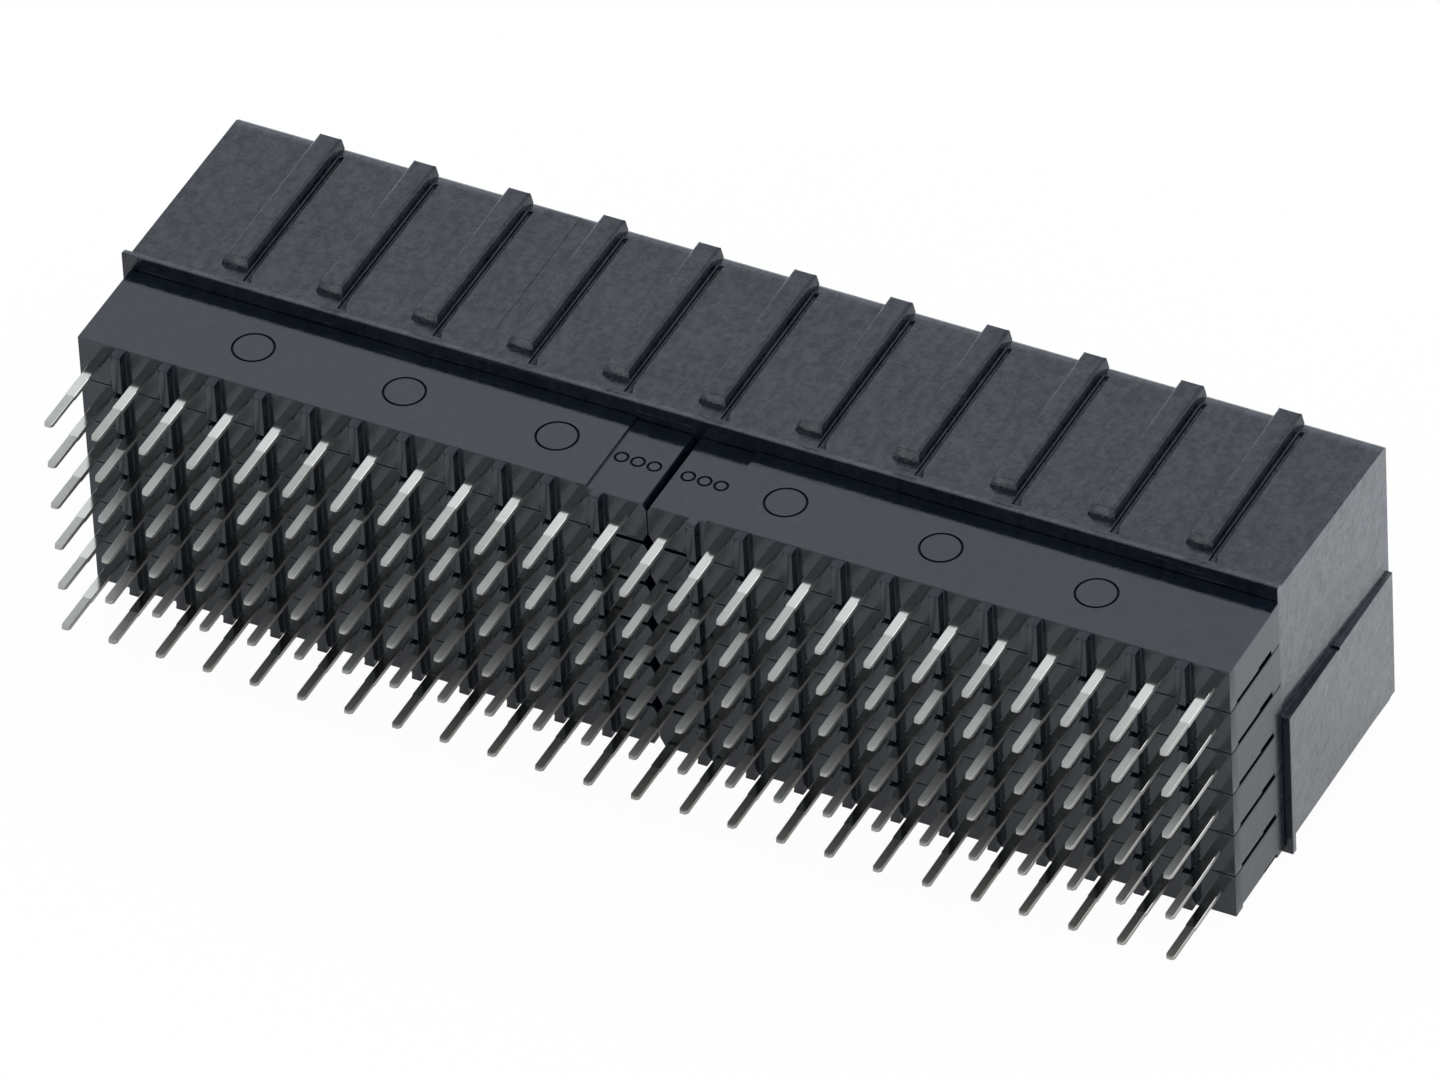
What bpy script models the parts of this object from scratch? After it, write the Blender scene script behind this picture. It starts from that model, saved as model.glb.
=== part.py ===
"""Straight 144-way receptacle of a 2 mm board-to-board connector, in metres, +Z up.

It lies on its long side, as photographed: the tails point to -Y, the mating face looks to +Y, and the
origin is the middle of the footprint. Twelve moulded wafers, each with twelve contacts, stand in six rows
and two halves against the back of one housing.
"""

import bmesh
import bpy
from mathutils import Matrix, Vector

# The contact grid
PITCH = 0.0020
ROWS = 6
COLUMNS_PER_WAFER = 12
HALVES = {"left": -1, "right": 1}

# Contact: a flat stamping with a board tail at one end and a two-beam fork at the other
CONTACT_THICKNESS = 0.00022
TAIL_WIDTH = 0.00040
TAIL_REACH = 0.00406
TIP_WIDTH = 0.00020
TIP_LENGTH = 0.00022
FORK_CLEARANCE = 0.00010
FORK_START = 0.00030
FORK_SHOULDER = 0.00025
FORK_SET_BACK = 0.00110
SLOT_WIDTH = 0.00036
SLOT_LENGTH = 0.00400

# Wafer: the moulded bar that holds twelve contacts
WAFER_DEPTH = 0.00430
WAFER_ABOVE_CONTACT = 0.00097
WAFER_SEAM = 0.00004
WAFER_END_MARGIN = 0.00080
CENTRE_SEAM = 0.00004
CORNER_CHAMFER_X = 0.00018
CORNER_CHAMFER_Z = 0.00042
FRONT_FOOT = 0.00058
RELIEF_DEPTH = 0.00015
NOTCH_DEPTH = 0.00028
NOTCH_LENGTH = 0.00115
REAR_FOOT = 0.00075
MARK_PAD_LENGTH = 0.00250
MARK_PAD_DEPTH = 0.00012

# Standoff: the small upright between two columns, whose front rests on the board
STANDOFF_WIDTH = 0.00039
STANDOFF_REACH = 0.00043
STANDOFF_END_MARGIN = 0.00006
STANDOFF_CHAMFER = 0.00012

# Housing
HOUSING_DEPTH = 0.00904
HOUSING_LEFT_WALL = 0.00041
HOUSING_RIGHT_WALL = 0.00022
HOUSING_RIGHT_DRAFT = 0.00021
HOUSING_TOP_WALL = 0.00103
HOUSING_FLOOR_WALL = 0.00041
HOUSING_TOP_CHAMFER = 0.00003
HOUSING_BOTTOM_CHAMFER = 0.00015
CAVITY_WALL_ACROSS = 0.00096
CAVITY_WALL_UP = 0.00106
LEAD_IN_DEPTH = 0.00035
LEAD_IN_SPREAD = 0.00018
LIP_RISE = 0.00014
LIP_CREST = 0.00005
LIP_DEPTH = 0.00030
FLANGE_LEFT_REACH = 0.00024

# Housing rib: eleven on the top and eleven below, every second column
RIB_STEP = 2
RIBS_EACH_SIDE = 5
RIB_WIDTH = 0.00091
RIB_FOOT_SPREAD = 0.00011
RIB_SHIFT = 0.00007
RIB_HEIGHT = 0.00044
RIB_CORNER = 0.00008
RIB_START = 0.00107
RIB_RAMP = 0.00022
RIB_RAMP_FOOT = 0.00004

# Raised pad on the right-hand end
END_PAD_REACH = 0.00036
END_PAD_BELOW_MIDDLE = 0.00550
END_PAD_ABOVE_MIDDLE = 0.00038
END_PAD_CHAMFER = 0.00012

# Gap between pieces that fit into each other, and how far a cutter or an added shape runs on
CLEARANCE = 0.00004
OVERRUN = 0.00010

# Rows whose contacts are nodes of their own. The others are moulded into one solid with their wafer
SEPARATE_CONTACT_ROWS = (1,)

# What follows from the driving dimensions
TOTAL_DEPTH = TAIL_REACH + WAFER_DEPTH + HOUSING_DEPTH
TIP_Y = -TOTAL_DEPTH / 2
FACE_Y = TIP_Y + TAIL_REACH
STEP_Y = FACE_Y + WAFER_DEPTH
MATING_Y = STEP_Y + HOUSING_DEPTH
COLUMN_HALF = PITCH / 2
WAFER_INNER_X = CENTRE_SEAM / 2
LAST_COLUMN_X = COLUMN_HALF + (COLUMNS_PER_WAFER - 1) * PITCH
WAFER_OUTER_X = LAST_COLUMN_X + WAFER_END_MARGIN
WAFER_BELOW_CONTACT = PITCH - WAFER_SEAM - WAFER_ABOVE_CONTACT
CAVITY_WIDTH = PITCH - CAVITY_WALL_ACROSS
CAVITY_HEIGHT = PITCH - CAVITY_WALL_UP
FORK_WIDTH = CAVITY_WIDTH - 2 * FORK_CLEARANCE
HOUSING_LEFT_X = -(LAST_COLUMN_X + CAVITY_WIDTH / 2 + HOUSING_LEFT_WALL)
HOUSING_RIGHT_X = LAST_COLUMN_X + CAVITY_WIDTH / 2 + HOUSING_RIGHT_WALL
HOUSING_BOTTOM_Z = RIB_HEIGHT
BOTTOM_ROW_Z = HOUSING_BOTTOM_Z + HOUSING_FLOOR_WALL + CAVITY_HEIGHT / 2
TOP_ROW_Z = BOTTOM_ROW_Z + (ROWS - 1) * PITCH
HOUSING_TOP_Z = TOP_ROW_Z + CAVITY_HEIGHT / 2 + HOUSING_TOP_WALL
MIDDLE_Z = (BOTTOM_ROW_Z + TOP_ROW_Z) / 2

PLASTIC_COLOUR = (0.016, 0.018, 0.021, 1.0)
CONTACT_COLOUR = (0.72, 0.71, 0.68, 1.0)


def row_height(row):
    """Height of a row's contacts; row 1 is the top one."""
    return TOP_ROW_Z - (row - 1) * PITCH


def column_positions():
    """X of each contact of one wafer, on the right-hand side."""
    return [COLUMN_HALF + PITCH * i for i in range(COLUMNS_PER_WAFER)]


def all_columns():
    """X of each contact of a whole row, from left to right."""
    return sorted(side * x for side in HALVES.values() for x in column_positions())


def material(name, colour, roughness, metallic):
    made = bpy.data.materials.new(name)
    made.use_nodes = True
    shader = made.node_tree.nodes["Principled BSDF"]
    shader.inputs["Base Color"].default_value = colour
    shader.inputs["Roughness"].default_value = roughness
    shader.inputs["Metallic"].default_value = metallic
    return made


def add_prism(bm, outline, axis, low, high):
    """Adds an outline extruded along an axis. It gives the two other coordinates, in X, Y, Z order."""
    def place(point, along):
        values = list(point)
        values.insert("XYZ".index(axis), along)
        return Vector(values)

    bottom = [bm.verts.new(place(point, low)) for point in outline]
    top = [bm.verts.new(place(point, high)) for point in outline]
    faces = [bm.faces.new(bottom), bm.faces.new(top)]
    for i in range(len(outline)):
        j = (i + 1) % len(outline)
        faces.append(bm.faces.new((bottom[i], bottom[j], top[j], top[i])))
    bmesh.ops.recalc_face_normals(bm, faces=faces)


def add_box(bm, x_range, y_range, z_range):
    (left, right), (near, far) = x_range, y_range
    add_prism(bm, [(left, near), (right, near), (right, far), (left, far)], "Z", *z_range)


def add_loft(bm, rings):
    """Adds a closed skin through rings of as many points each."""
    loops = [[bm.verts.new(point) for point in ring] for ring in rings]
    faces = [bm.faces.new(loops[0]), bm.faces.new(loops[-1])]
    for first, second in zip(loops, loops[1:]):
        for i in range(len(first)):
            j = (i + 1) % len(first)
            faces.append(bm.faces.new((first[i], first[j], second[j], second[i])))
    bmesh.ops.recalc_face_normals(bm, faces=faces)


def cut_away(bm, point, normal):
    """Cuts off what lies beyond a plane and closes the cut."""
    geometry = bm.verts[:] + bm.edges[:] + bm.faces[:]
    cut = bmesh.ops.bisect_plane(bm, geom=geometry, plane_co=point, plane_no=normal, clear_outer=True)
    edges = [item for item in cut["geom_cut"] if isinstance(item, bmesh.types.BMEdge)]
    bmesh.ops.contextual_create(bm, geom=edges)
    bmesh.ops.recalc_face_normals(bm, faces=bm.faces[:])


def mesh_of(bm, name):
    mesh = bpy.data.meshes.new(name)
    bm.to_mesh(mesh)
    bm.free()
    return mesh


def combine(mesh, operation, tool):
    """The mesh joined with, or cut by, the tool's mesh. Both are used up."""
    base_object = bpy.data.objects.new("base", mesh)
    tool_object = bpy.data.objects.new("tool", tool)
    for obj in (base_object, tool_object):
        bpy.context.scene.collection.objects.link(obj)
    modifier = base_object.modifiers.new("combine", "BOOLEAN")
    modifier.operation = operation
    modifier.object = tool_object
    modifier.solver = "EXACT"
    bpy.context.view_layer.update()
    graph = bpy.context.evaluated_depsgraph_get()
    result = bpy.data.meshes.new_from_object(base_object.evaluated_get(graph))
    for obj in (base_object, tool_object):
        bpy.data.objects.remove(obj)
    for used in (mesh, tool):
        bpy.data.meshes.remove(used)
    return result


def contact_outline():
    """The stamped outline in X and Y, symmetrical about X = 0, from the tail's tip to the fork's tips."""
    fork_tip = MATING_Y - FORK_SET_BACK
    fork_start = STEP_Y + FORK_START
    right = [
        (TIP_WIDTH / 2, TIP_Y),
        (TAIL_WIDTH / 2, TIP_Y + TIP_LENGTH),
        (TAIL_WIDTH / 2, fork_start),
        (FORK_WIDTH / 2, fork_start + FORK_SHOULDER),
        (FORK_WIDTH / 2, fork_tip),
        (SLOT_WIDTH / 2, fork_tip),
        (SLOT_WIDTH / 2, fork_tip - SLOT_LENGTH),
    ]
    return right + [(-x, y) for x, y in reversed(right)]


def add_contact(bm, x):
    outline = [(x + dx, y) for dx, y in contact_outline()]
    add_prism(bm, outline, "Z", -CONTACT_THICKNESS / 2, CONTACT_THICKNESS / 2)


def wafer_section():
    """The section in Y and Z, with Z = 0 at the contacts: a foot, a relief, a deeper notch, a foot."""
    bottom = -WAFER_BELOW_CONTACT
    notch_end = STEP_Y - REAR_FOOT
    notch_start = notch_end - NOTCH_LENGTH
    return [
        (FACE_Y, bottom),
        (FACE_Y + FRONT_FOOT, bottom),
        (FACE_Y + FRONT_FOOT, bottom + RELIEF_DEPTH),
        (notch_start, bottom + RELIEF_DEPTH),
        (notch_start, bottom + NOTCH_DEPTH),
        (notch_end, bottom + NOTCH_DEPTH),
        (notch_end, bottom),
        (STEP_Y - CLEARANCE, bottom),
        (STEP_Y - CLEARANCE, WAFER_ABOVE_CONTACT),
        (FACE_Y, WAFER_ABOVE_CONTACT),
    ]


def wafer_bar():
    """The bar alone, with the two corners beside the centre seam cut off."""
    bm = bmesh.new()
    add_prism(bm, wafer_section(), "X", WAFER_INNER_X, WAFER_OUTER_X)
    for height, up in ((WAFER_ABOVE_CONTACT, 1), (-WAFER_BELOW_CONTACT, -1)):
        corner = (WAFER_INNER_X, 0, height - up * CORNER_CHAMFER_Z)
        cut_away(bm, corner, (-CORNER_CHAMFER_Z, 0, up * CORNER_CHAMFER_X))
    return mesh_of(bm, "wafer")


def wafer_mark_pad():
    """The cutter of the shallow field for the cavity marks, beside the centre seam."""
    bm = bmesh.new()
    add_box(
        bm,
        (WAFER_INNER_X - OVERRUN, MARK_PAD_LENGTH),
        (FACE_Y - OVERRUN, STEP_Y + OVERRUN),
        (WAFER_ABOVE_CONTACT - MARK_PAD_DEPTH, WAFER_ABOVE_CONTACT + OVERRUN),
    )
    return mesh_of(bm, "mark_pad")


def wafer_standoffs():
    bm = bmesh.new()
    front = FACE_Y - STANDOFF_REACH
    low = -WAFER_BELOW_CONTACT + STANDOFF_END_MARGIN
    high = WAFER_ABOVE_CONTACT - STANDOFF_END_MARGIN
    section = [
        (FACE_Y + OVERRUN, low),
        (front + STANDOFF_CHAMFER, low),
        (front, low + STANDOFF_CHAMFER),
        (front, high - STANDOFF_CHAMFER),
        (front + STANDOFF_CHAMFER, high),
        (FACE_Y + OVERRUN, high),
    ]
    for x in column_positions()[:-1]:
        middle = x + COLUMN_HALF
        add_prism(bm, section, "X", middle - STANDOFF_WIDTH / 2, middle + STANDOFF_WIDTH / 2)
    return mesh_of(bm, "standoffs")


def row_of_contacts():
    bm = bmesh.new()
    for x in column_positions():
        add_contact(bm, x)
    return mesh_of(bm, "contacts")


def row_of_slots():
    """The cutter of the slots that separate contacts pass through."""
    bm = bmesh.new()
    half_width = TAIL_WIDTH / 2 + CLEARANCE
    half_height = CONTACT_THICKNESS / 2 + CLEARANCE
    for x in column_positions():
        add_box(
            bm,
            (x - half_width, x + half_width),
            (FACE_Y - OVERRUN, STEP_Y + OVERRUN),
            (-half_height, half_height),
        )
    return mesh_of(bm, "slots")


def wafer_mesh(side, with_contacts):
    """One wafer of the right-hand half, mirrored for the left, with its contacts or with slots for them."""
    mesh = combine(wafer_bar(), "DIFFERENCE", wafer_mark_pad())
    mesh = combine(mesh, "UNION", wafer_standoffs())
    if with_contacts:
        mesh = combine(mesh, "UNION", row_of_contacts())
    else:
        mesh = combine(mesh, "DIFFERENCE", row_of_slots())
    if side < 0:
        mesh.transform(Matrix.Scale(-1, 4, (1, 0, 0)))
        mesh.flip_normals()
    return mesh


def housing_block():
    """The plain block, its section drawn in Y and Z, and its right-hand end drafted wider to the back."""
    section = [
        (STEP_Y, HOUSING_BOTTOM_Z),
        (MATING_Y - HOUSING_BOTTOM_CHAMFER, HOUSING_BOTTOM_Z),
        (MATING_Y, HOUSING_BOTTOM_Z + HOUSING_BOTTOM_CHAMFER),
        (MATING_Y, HOUSING_TOP_Z - HOUSING_TOP_CHAMFER),
        (MATING_Y - HOUSING_TOP_CHAMFER, HOUSING_TOP_Z),
        (STEP_Y, HOUSING_TOP_Z),
    ]
    bm = bmesh.new()
    add_prism(bm, section, "X", HOUSING_LEFT_X, HOUSING_RIGHT_X + HOUSING_RIGHT_DRAFT)
    cut_away(bm, (HOUSING_RIGHT_X, STEP_Y, 0), (HOUSING_DEPTH, -HOUSING_RIGHT_DRAFT, 0))
    return mesh_of(bm, "housing")


def housing_flange():
    """The raised rim of the near face: a sharp lip on top and a foot, as high as the ribs, below."""
    section = [
        (STEP_Y, 0),
        (STEP_Y + LIP_DEPTH, 0),
        (STEP_Y + LIP_DEPTH, HOUSING_TOP_Z),
        (STEP_Y + LIP_CREST, HOUSING_TOP_Z + LIP_RISE),
        (STEP_Y, HOUSING_TOP_Z + LIP_RISE),
    ]
    bm = bmesh.new()
    add_prism(bm, section, "X", HOUSING_LEFT_X - FLANGE_LEFT_REACH, HOUSING_RIGHT_X)
    return mesh_of(bm, "flange")


def add_rib(bm, x):
    """One rib of the top face, wider at its foot, ramped at its near end and a little right of its column."""
    x = x + RIB_SHIFT
    half = RIB_WIDTH / 2
    foot = half + RIB_FOOT_SPREAD
    base = HOUSING_TOP_Z - OVERRUN
    crest = HOUSING_TOP_Z + RIB_HEIGHT
    ramp_start = STEP_Y + RIB_START
    rib = bmesh.new()
    outline = [
        (x - foot, base),
        (x + foot, base),
        (x + foot, HOUSING_TOP_Z),
        (x + half, crest - RIB_CORNER),
        (x + half - RIB_CORNER, crest),
        (x - half + RIB_CORNER, crest),
        (x - half, crest - RIB_CORNER),
        (x - foot, HOUSING_TOP_Z),
    ]
    add_prism(rib, outline, "Y", ramp_start, MATING_Y)
    slope = Vector((0, RIB_HEIGHT - RIB_RAMP_FOOT, -RIB_RAMP))
    cut_away(rib, (x, ramp_start, HOUSING_TOP_Z + RIB_RAMP_FOOT), -slope)
    mesh = mesh_of(rib, "rib")
    bm.from_mesh(mesh)
    bpy.data.meshes.remove(mesh)


def housing_ribs():
    """All ribs: the top ones, and the same turned over for the underside."""
    bm = bmesh.new()
    for i in range(-RIBS_EACH_SIDE, RIBS_EACH_SIDE + 1):
        add_rib(bm, i * RIB_STEP * PITCH)
    top = mesh_of(bm, "ribs")
    below = top.copy()
    about = Matrix.Translation((0, 0, (HOUSING_TOP_Z + HOUSING_BOTTOM_Z) / 2))
    below.transform(about @ Matrix.Scale(-1, 4, (0, 0, 1)) @ about.inverted())
    below.flip_normals()
    both = bmesh.new()
    for mesh in (top, below):
        both.from_mesh(mesh)
        bpy.data.meshes.remove(mesh)
    return mesh_of(both, "ribs")


def housing_end_pad():
    """The raised pad on the right-hand end, with the rim's foot carried on below its near end."""
    low = MIDDLE_Z - END_PAD_BELOW_MIDDLE
    high = MIDDLE_Z + END_PAD_ABOVE_MIDDLE
    outline = [
        (STEP_Y, 0),
        (STEP_Y + LIP_DEPTH, 0),
        (STEP_Y + LIP_DEPTH, low),
        (MATING_Y - END_PAD_CHAMFER, low),
        (MATING_Y, low + END_PAD_CHAMFER),
        (MATING_Y, high),
        (STEP_Y, high),
    ]
    bm = bmesh.new()
    add_prism(bm, outline, "X", HOUSING_RIGHT_X - OVERRUN, HOUSING_RIGHT_X + END_PAD_REACH)
    return mesh_of(bm, "end_pad")


def cavity_ring(x, y, z, spread):
    half_width = CAVITY_WIDTH / 2 + spread
    half_height = CAVITY_HEIGHT / 2 + spread
    signs = ((-1, -1), (1, -1), (1, 1), (-1, 1))
    return [(x + i * half_width, y, z + j * half_height) for i, j in signs]


def housing_cavities():
    """The cutter of the contact cavities, which open wider at the mating face."""
    bm = bmesh.new()
    spread_past_face = LEAD_IN_SPREAD * (LEAD_IN_DEPTH + OVERRUN) / LEAD_IN_DEPTH
    stations = (
        (STEP_Y - OVERRUN, 0),
        (MATING_Y - LEAD_IN_DEPTH, 0),
        (MATING_Y + OVERRUN, spread_past_face),
    )
    for row in range(1, ROWS + 1):
        for x in all_columns():
            add_loft(bm, [cavity_ring(x, y, row_height(row), spread) for y, spread in stations])
    return mesh_of(bm, "cavities")


def housing_mesh():
    mesh = combine(housing_block(), "UNION", housing_flange())
    mesh = combine(mesh, "UNION", housing_end_pad())
    mesh = combine(mesh, "UNION", housing_ribs())
    return combine(mesh, "DIFFERENCE", housing_cavities())


def add_object(name, mesh, shader, location=(0, 0, 0)):
    obj = bpy.data.objects.new(name, mesh)
    obj.location = location
    if shader.name not in mesh.materials:
        mesh.materials.append(shader)
    bpy.context.scene.collection.objects.link(obj)
    return obj


def single_contact_mesh():
    bm = bmesh.new()
    add_contact(bm, 0)
    return mesh_of(bm, "contact")


def main():
    for obj in list(bpy.data.objects):
        bpy.data.objects.remove(obj)
    plastic = material("black_plastic", PLASTIC_COLOUR, 0.35, 0.0)
    tinned = material("tinned_metal", CONTACT_COLOUR, 0.25, 1.0)
    add_object("housing", housing_mesh(), plastic)
    for side_name, side in HALVES.items():
        moulded_in = wafer_mesh(side, with_contacts=True)
        slotted = wafer_mesh(side, with_contacts=False)
        for row in range(1, ROWS + 1):
            mesh = slotted if row in SEPARATE_CONTACT_ROWS else moulded_in
            add_object(f"wafer_row_{row}_{side_name}", mesh, plastic, (0, 0, row_height(row)))
    contact = single_contact_mesh()
    for row in SEPARATE_CONTACT_ROWS:
        for number, x in enumerate(all_columns(), start=1):
            add_object(f"contact_row_{row}_{number:02d}", contact, tinned, (x, 0, row_height(row)))


main()
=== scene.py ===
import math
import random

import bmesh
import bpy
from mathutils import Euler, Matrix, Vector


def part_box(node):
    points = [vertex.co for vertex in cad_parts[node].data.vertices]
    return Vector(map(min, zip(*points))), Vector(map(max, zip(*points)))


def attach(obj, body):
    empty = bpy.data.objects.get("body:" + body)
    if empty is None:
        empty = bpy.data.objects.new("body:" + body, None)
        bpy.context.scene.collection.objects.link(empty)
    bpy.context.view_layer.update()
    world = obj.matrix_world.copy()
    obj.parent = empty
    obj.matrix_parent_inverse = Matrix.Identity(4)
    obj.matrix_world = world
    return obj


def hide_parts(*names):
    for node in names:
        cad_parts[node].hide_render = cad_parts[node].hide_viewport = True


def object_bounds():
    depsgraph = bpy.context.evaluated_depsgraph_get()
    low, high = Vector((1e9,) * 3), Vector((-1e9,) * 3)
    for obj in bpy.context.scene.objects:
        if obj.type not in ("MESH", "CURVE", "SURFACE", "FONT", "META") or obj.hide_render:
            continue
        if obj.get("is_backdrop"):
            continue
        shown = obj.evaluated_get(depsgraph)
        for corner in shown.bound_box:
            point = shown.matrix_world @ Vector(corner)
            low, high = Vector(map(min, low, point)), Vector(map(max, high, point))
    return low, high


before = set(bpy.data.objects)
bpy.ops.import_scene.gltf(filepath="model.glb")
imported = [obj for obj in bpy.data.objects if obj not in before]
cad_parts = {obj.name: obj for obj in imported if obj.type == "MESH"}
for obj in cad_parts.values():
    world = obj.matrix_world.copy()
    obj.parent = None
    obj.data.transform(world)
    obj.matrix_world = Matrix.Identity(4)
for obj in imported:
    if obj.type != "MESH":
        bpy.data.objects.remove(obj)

# %% [markdown]
# # A board-to-board connector
#
# The connector is the female half of a pair that joins two circuit boards. A ribbed black housing holds 144
# contact cavities. Behind it stand twelve moulded wafers, six rows in two halves, and each wafer carries
# twelve stamped contacts whose tails go into the board.
#
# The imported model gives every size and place. This script adds what a mould and a press leave on the real
# pieces: rounded edges, ejector rings, a parting line, flow marks in the plastic, and bright tin on the
# tails.

MM = 0.001
CLOSE = 0.001 * MM  # places closer than this are taken as the same place
FACING = 0.9  # a face looks along an axis when its normal's share of that axis is above this
CUT_THRESHOLD = 1e-7
MERGE_DISTANCE = 1e-6
SIDES = {"left": -1, "right": 1}
ROWS = 6
COLUMNS_PER_WAFER = 12

cad_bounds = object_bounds()
housing_low, housing_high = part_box("housing")
wafer_low, wafer_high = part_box("wafer_row_1_right")
second_wafer_low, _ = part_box("wafer_row_2_right")
contact_low, contact_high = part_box("contact_row_1_13")
last_contact_low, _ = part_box("contact_row_1_24")
PITCH = (last_contact_low.x - contact_low.x) / (COLUMNS_PER_WAFER - 1)
ROW_STEP = wafer_low.z - second_wafer_low.z
TOP_ROW_Z = (contact_low.z + contact_high.z) / 2
print(f"pitch {PITCH / MM:.2f} mm, rows {ROW_STEP / MM:.2f} mm apart, top row at {TOP_ROW_Z / MM:.2f} mm")

# %% [markdown]
# ## The camera
#
# The photograph was taken from far away with a long lens, so parallel edges stay nearly parallel. A short
# lens moved closer would show the same faces but would squeeze the far end. The values below come from
# fitting a camera to the tips of the 24 by 6 tails.

# %% Camera
CAMERA_PLACE = (0.24521, -0.45303, 0.44908)
CAMERA_AZIMUTH = math.radians(28.375)
CAMERA_ELEVATION = math.radians(40.650)
CAMERA_ROLL = math.radians(-3.084)
CAMERA_LENS_MM = 454.97

camera_data = bpy.data.cameras.new("camera")
camera_data.lens = CAMERA_LENS_MM
camera_data.sensor_width = 36
camera = bpy.data.objects.new("camera", camera_data)
facing = Euler((math.pi / 2 - CAMERA_ELEVATION, 0, CAMERA_AZIMUTH)).to_matrix()
turned = facing @ Matrix.Rotation(CAMERA_ROLL, 3, "Z")
camera.matrix_world = Matrix.Translation(CAMERA_PLACE) @ turned.to_4x4()
bpy.context.scene.collection.objects.link(camera)
bpy.context.scene.camera = camera
print(f"camera: {camera_data.lens:.0f} mm lens, {camera.matrix_world.translation.length / MM:.0f} mm away")

# %% [markdown]
# ## Working with the modelling tools
#
# Every piece starts as a primitive at its real size. In edit mode it is cut with the bisect tool, its faces
# are chosen by where they lie, and they are pushed or pulled. These helpers keep each of those steps to a
# line. The tools act on everything that is selected, so each helper starts by clearing the selection.

# %% Helpers for pieces
def only(piece):
    """Makes the piece the one selected and active object."""
    bpy.ops.object.select_all(action="DESELECT")
    piece.select_set(True)
    bpy.context.view_layer.objects.active = piece


def box_piece(name, low, high):
    """A cube at its real size and place, with its object at the origin."""
    bpy.ops.object.select_all(action="DESELECT")
    low, high = Vector(low), Vector(high)
    bpy.ops.mesh.primitive_cube_add(size=1, location=(low + high) / 2)
    piece = bpy.context.object
    piece.name = name
    piece.scale = high - low
    bpy.ops.object.transform_apply(location=True, rotation=True, scale=True)
    return piece


def edit(piece):
    only(piece)
    bpy.ops.object.mode_set(mode="EDIT")


def leave():
    bpy.ops.object.mode_set(mode="OBJECT")


def select_faces(piece, test):
    """In edit mode, selects the faces whose box's centre and normal pass the test, and says how many."""
    bpy.ops.mesh.select_mode(type="FACE")
    bpy.ops.mesh.select_all(action="DESELECT")
    mesh = bmesh.from_edit_mesh(piece.data)
    mesh.normal_update()
    chosen = [face for face in mesh.faces if test(face.calc_center_bounds(), face.normal)]
    for face in chosen:
        face.select_set(True)
    bmesh.update_edit_mesh(piece.data)
    return len(chosen)


def select_edges(piece, test):
    """In edit mode, selects the edges whose two ends pass the test, and says how many."""
    bpy.ops.mesh.select_mode(type="EDGE")
    bpy.ops.mesh.select_all(action="DESELECT")
    mesh = bmesh.from_edit_mesh(piece.data)
    chosen = [edge for edge in mesh.edges if test(edge.verts[0].co, edge.verts[1].co)]
    for edge in chosen:
        edge.select_set(True)
    bmesh.update_edit_mesh(piece.data)
    return len(chosen)


def cut(axis, place, piece=None, test=None, **keep):
    """Bisects the piece across an axis, all of it or only the faces that pass the test."""
    if test:
        select_faces(piece, test)
    else:
        bpy.ops.mesh.select_all(action="SELECT")
    point = [0, 0, 0]
    point["XYZ".index(axis)] = place
    normal = [0, 0, 0]
    normal["XYZ".index(axis)] = 1
    bpy.ops.mesh.bisect(plane_co=point, plane_no=normal, threshold=CUT_THRESHOLD, **keep)


def slice_off(point, normal):
    """Cuts off what lies beyond a plane and closes the cut."""
    bpy.ops.mesh.select_all(action="SELECT")
    direction = Vector(normal).normalized()
    bpy.ops.mesh.bisect(
        plane_co=point, plane_no=direction, use_fill=True, clear_outer=True, threshold=CUT_THRESHOLD
    )


def pull(offset):
    """Extrudes the selected faces by an offset."""
    bpy.ops.mesh.extrude_region_move(TRANSFORM_OT_translate={"value": offset})


def apply_modifier(piece, kind, **settings):
    only(piece)
    modifier = piece.modifiers.new(kind.lower(), kind)
    for name, value in settings.items():
        setattr(modifier, name, value)
    bpy.ops.object.modifier_apply(modifier=modifier.name)


def round_edges(piece, width, segments=2):
    apply_modifier(
        piece, "BEVEL", width=width, segments=segments, limit_method="ANGLE", angle_limit=math.radians(35)
    )


def use_up(piece, tool, operation):
    """Joins the tool to the piece, or cuts it out, and deletes the tool."""
    apply_modifier(piece, "BOOLEAN", operation=operation, object=tool, solver="EXACT")
    bpy.data.objects.remove(tool)


def join(pieces, name):
    bpy.ops.object.select_all(action="DESELECT")
    for piece in pieces:
        piece.select_set(True)
    bpy.context.view_layer.objects.active = pieces[0]
    bpy.ops.object.join()
    pieces[0].name = name
    return pieces[0]


def copy_of(piece, name, matrix):
    """A copy with a mesh of its own, moved, turned or mirrored inside that mesh."""
    copied = bpy.data.objects.new(name, piece.data.copy())
    bpy.context.scene.collection.objects.link(copied)
    copied.data.transform(matrix)
    if matrix.determinant() < 0:
        copied.data.flip_normals()
    return copied


def in_mm(lengths):
    return [round(length / MM, 2) for length in lengths]


def finish_shading(piece):
    """Smooth over the rounded edges, with the flat faces kept truly flat."""
    only(piece)
    bpy.ops.object.shade_smooth_by_angle(angle=math.radians(40))
    apply_modifier(piece, "WEIGHTED_NORMAL", keep_sharp=True, weight=100)


# %% [markdown]
# ## Sums between shader sockets
#
# A procedural finish is mostly arithmetic: a noise times a strength plus a base value. Written as node and
# link calls, it is hard to read. This class wraps a socket, so that an ordinary expression adds the Math
# nodes, and one method adds any other node.

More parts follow.
